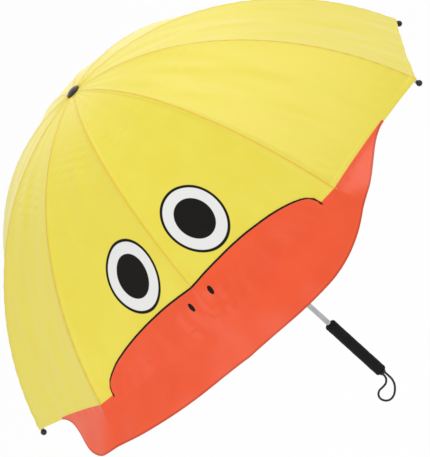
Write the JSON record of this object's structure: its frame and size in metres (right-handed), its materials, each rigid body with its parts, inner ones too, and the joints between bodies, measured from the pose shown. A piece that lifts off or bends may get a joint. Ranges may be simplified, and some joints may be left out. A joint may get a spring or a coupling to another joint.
{
  "type": "children's umbrella",
  "caption": "Children's stick umbrella with a domed yellow canopy, a red bill-shaped visor, ball tips, a foam grip and a wrist cord; the frame folds by a runner.",
  "frame": {"origin": "middle of the grip, on the shaft's axis", "axes": "+Z along the shaft towards the canopy's apex, -Y towards the middle of the bill"},
  "size_m": [0.6706, 0.7171, 0.6065],
  "materials": {
    "chrome_tube": "polished",
    "sprung_steel": "bright drawn",
    "rib_steel": "zinc plated",
    "black_plastic": "moulded",
    "foam": "fine cell foam",
    "cord": "braided",
    "yellow_cloth": "plain weave, satin sheen",
    "red_cloth": "plain weave, satin sheen"
  },
  "bodies": {
    "root": {"shaft": "chrome_tube", "top_cap": "black_plastic", "crown": "black_plastic", "crown_wire": "sprung_steel", "rosette": "cord", "runner_stop": "chrome_tube", "foam_grip": "foam", "grip_plug": "black_plastic", "wrist_strap": "cord"},
    "runner": {"runner": "black_plastic"},
    "top_catch": {"top_catch": "sprung_steel"},
    "bottom_catch": {"bottom_catch": "sprung_steel"},
    "rib_1": {"rib_1": "rib_steel", "rib_tip_1": "black_plastic", "panel_1": "yellow_cloth", "bill": "red_cloth"},
    "stretcher_1": {"stretcher_1": "rib_steel"},
    "rib_2": {"rib_2": "rib_steel", "rib_tip_2": "black_plastic", "panel_2": "yellow_cloth"},
    "stretcher_2": {"stretcher_2": "rib_steel"},
    "rib_3": {"rib_3": "rib_steel", "rib_tip_3": "black_plastic", "panel_3": "yellow_cloth"},
    "stretcher_3": {"stretcher_3": "rib_steel"},
    "rib_4": {"rib_4": "rib_steel", "rib_tip_4": "black_plastic", "panel_4": "yellow_cloth"},
    "stretcher_4": {"stretcher_4": "rib_steel"},
    "rib_5": {"rib_5": "rib_steel", "rib_tip_5": "black_plastic", "panel_5": "yellow_cloth"},
    "stretcher_5": {"stretcher_5": "rib_steel"},
    "rib_6": {"rib_6": "rib_steel", "rib_tip_6": "black_plastic", "panel_6": "yellow_cloth", "tie_band": "yellow_cloth", "press_studs": "chrome_tube"},
    "stretcher_6": {"stretcher_6": "rib_steel"},
    "rib_7": {"rib_7": "rib_steel", "rib_tip_7": "black_plastic", "panel_7": "yellow_cloth"},
    "stretcher_7": {"stretcher_7": "rib_steel"},
    "rib_8": {"rib_8": "rib_steel", "rib_tip_8": "black_plastic", "panel_8": "yellow_cloth"},
    "stretcher_8": {"stretcher_8": "rib_steel"},
    "rib_9": {"rib_9": "rib_steel", "rib_tip_9": "black_plastic", "panel_9": "yellow_cloth"},
    "stretcher_9": {"stretcher_9": "rib_steel"},
    "rib_10": {"rib_10": "rib_steel", "rib_tip_10": "black_plastic", "panel_10": "yellow_cloth"},
    "stretcher_10": {"stretcher_10": "rib_steel"}
  },
  "joints": [
    {"name": "runner_slide", "type": "slide", "parent": "root", "child": "runner", "axis": [0, 0, -1], "range_m": [0, 0.22045], "deforming": ["panel_1", "panel_2", "panel_3", "panel_4", "panel_5", "panel_6", "panel_7", "panel_8", "panel_9", "panel_10", "bill", "tie_band", "top_catch", "bottom_catch"]},
    {"name": "rib_1_fold", "type": "hinge", "parent": "root", "child": "rib_1", "pos_m": [0, -0.011, 0.5095], "axis": [1, 0, 0], "range_deg": [0, 51.87]},
    {"name": "stretcher_1_fold", "type": "hinge", "parent": "rib_1", "child": "stretcher_1", "pos_m": [0, -0.1762, 0.45798], "axis": [1, 0, 0], "range_deg": [-103.73, 0]},
    {"name": "rib_2_fold", "type": "hinge", "parent": "root", "child": "rib_2", "pos_m": [0.00647, -0.0089, 0.5095], "axis": [0.809, 0.5878, 0], "range_deg": [0, 51.87]},
    {"name": "stretcher_2_fold", "type": "hinge", "parent": "rib_2", "child": "stretcher_2", "pos_m": [0.10357, -0.14255, 0.45798], "axis": [0.809, 0.5878, 0], "range_deg": [-103.73, 0]},
    {"name": "rib_3_fold", "type": "hinge", "parent": "root", "child": "rib_3", "pos_m": [0.01046, -0.0034, 0.5095], "axis": [0.309, 0.9511, 0], "range_deg": [0, 51.87]},
    {"name": "stretcher_3_fold", "type": "hinge", "parent": "rib_3", "child": "stretcher_3", "pos_m": [0.16757, -0.05445, 0.45798], "axis": [0.309, 0.9511, 0], "range_deg": [-103.73, 0]},
    {"name": "rib_4_fold", "type": "hinge", "parent": "root", "child": "rib_4", "pos_m": [0.01046, 0.0034, 0.5095], "axis": [-0.309, 0.9511, 0], "range_deg": [0, 51.87]},
    {"name": "stretcher_4_fold", "type": "hinge", "parent": "rib_4", "child": "stretcher_4", "pos_m": [0.16757, 0.05445, 0.45798], "axis": [-0.309, 0.9511, 0], "range_deg": [-103.73, 0]},
    {"name": "rib_5_fold", "type": "hinge", "parent": "root", "child": "rib_5", "pos_m": [0.00647, 0.0089, 0.5095], "axis": [-0.809, 0.5878, 0], "range_deg": [0, 51.87]},
    {"name": "stretcher_5_fold", "type": "hinge", "parent": "rib_5", "child": "stretcher_5", "pos_m": [0.10357, 0.14255, 0.45798], "axis": [-0.809, 0.5878, 0], "range_deg": [-103.73, 0]},
    {"name": "rib_6_fold", "type": "hinge", "parent": "root", "child": "rib_6", "pos_m": [0, 0.011, 0.5095], "axis": [-1, 0, 0], "range_deg": [0, 51.87]},
    {"name": "stretcher_6_fold", "type": "hinge", "parent": "rib_6", "child": "stretcher_6", "pos_m": [0, 0.1762, 0.45798], "axis": [-1, 0, 0], "range_deg": [-103.73, 0]},
    {"name": "rib_7_fold", "type": "hinge", "parent": "root", "child": "rib_7", "pos_m": [-0.00647, 0.0089, 0.5095], "axis": [-0.809, -0.5878, 0], "range_deg": [0, 51.87]},
    {"name": "stretcher_7_fold", "type": "hinge", "parent": "rib_7", "child": "stretcher_7", "pos_m": [-0.10357, 0.14255, 0.45798], "axis": [-0.809, -0.5878, 0], "range_deg": [-103.73, 0]},
    {"name": "rib_8_fold", "type": "hinge", "parent": "root", "child": "rib_8", "pos_m": [-0.01046, 0.0034, 0.5095], "axis": [-0.309, -0.9511, 0], "range_deg": [0, 51.87]},
    {"name": "stretcher_8_fold", "type": "hinge", "parent": "rib_8", "child": "stretcher_8", "pos_m": [-0.16757, 0.05445, 0.45798], "axis": [-0.309, -0.9511, 0], "range_deg": [-103.73, 0]},
    {"name": "rib_9_fold", "type": "hinge", "parent": "root", "child": "rib_9", "pos_m": [-0.01046, -0.0034, 0.5095], "axis": [0.309, -0.9511, 0], "range_deg": [0, 51.87]},
    {"name": "stretcher_9_fold", "type": "hinge", "parent": "rib_9", "child": "stretcher_9", "pos_m": [-0.16757, -0.05445, 0.45798], "axis": [0.309, -0.9511, 0], "range_deg": [-103.73, 0]},
    {"name": "rib_10_fold", "type": "hinge", "parent": "root", "child": "rib_10", "pos_m": [-0.00647, -0.0089, 0.5095], "axis": [0.809, -0.5878, 0], "range_deg": [0, 51.87]},
    {"name": "stretcher_10_fold", "type": "hinge", "parent": "rib_10", "child": "stretcher_10", "pos_m": [-0.10357, -0.14255, 0.45798], "axis": [0.809, -0.5878, 0], "range_deg": [-103.73, 0]},
    {"name": "top_catch_press", "type": "slide", "parent": "root", "child": "top_catch", "axis": [0, -1, 0], "range_m": [0, 0.0018], "stiffness_N_per_m": 400},
    {"name": "bottom_catch_press", "type": "slide", "parent": "root", "child": "bottom_catch", "axis": [0, -1, 0], "range_m": [0, 0.0018], "stiffness_N_per_m": 400}
  ],
  "couplings": [
    {"joint": "rib_1_fold", "follows": "runner_slide", "rad_per_m": 4.1057},
    {"joint": "stretcher_1_fold", "follows": "runner_slide", "rad_per_m": -8.2114},
    {"joint": "rib_2_fold", "follows": "runner_slide", "rad_per_m": 4.1057},
    {"joint": "stretcher_2_fold", "follows": "runner_slide", "rad_per_m": -8.2114},
    {"joint": "rib_3_fold", "follows": "runner_slide", "rad_per_m": 4.1057},
    {"joint": "stretcher_3_fold", "follows": "runner_slide", "rad_per_m": -8.2114},
    {"joint": "rib_4_fold", "follows": "runner_slide", "rad_per_m": 4.1057},
    {"joint": "stretcher_4_fold", "follows": "runner_slide", "rad_per_m": -8.2114},
    {"joint": "rib_5_fold", "follows": "runner_slide", "rad_per_m": 4.1057},
    {"joint": "stretcher_5_fold", "follows": "runner_slide", "rad_per_m": -8.2114},
    {"joint": "rib_6_fold", "follows": "runner_slide", "rad_per_m": 4.1057},
    {"joint": "stretcher_6_fold", "follows": "runner_slide", "rad_per_m": -8.2114},
    {"joint": "rib_7_fold", "follows": "runner_slide", "rad_per_m": 4.1057},
    {"joint": "stretcher_7_fold", "follows": "runner_slide", "rad_per_m": -8.2114},
    {"joint": "rib_8_fold", "follows": "runner_slide", "rad_per_m": 4.1057},
    {"joint": "stretcher_8_fold", "follows": "runner_slide", "rad_per_m": -8.2114},
    {"joint": "rib_9_fold", "follows": "runner_slide", "rad_per_m": 4.1057},
    {"joint": "stretcher_9_fold", "follows": "runner_slide", "rad_per_m": -8.2114},
    {"joint": "rib_10_fold", "follows": "runner_slide", "rad_per_m": 4.1057},
    {"joint": "stretcher_10_fold", "follows": "runner_slide", "rad_per_m": -8.2114}
  ]
}
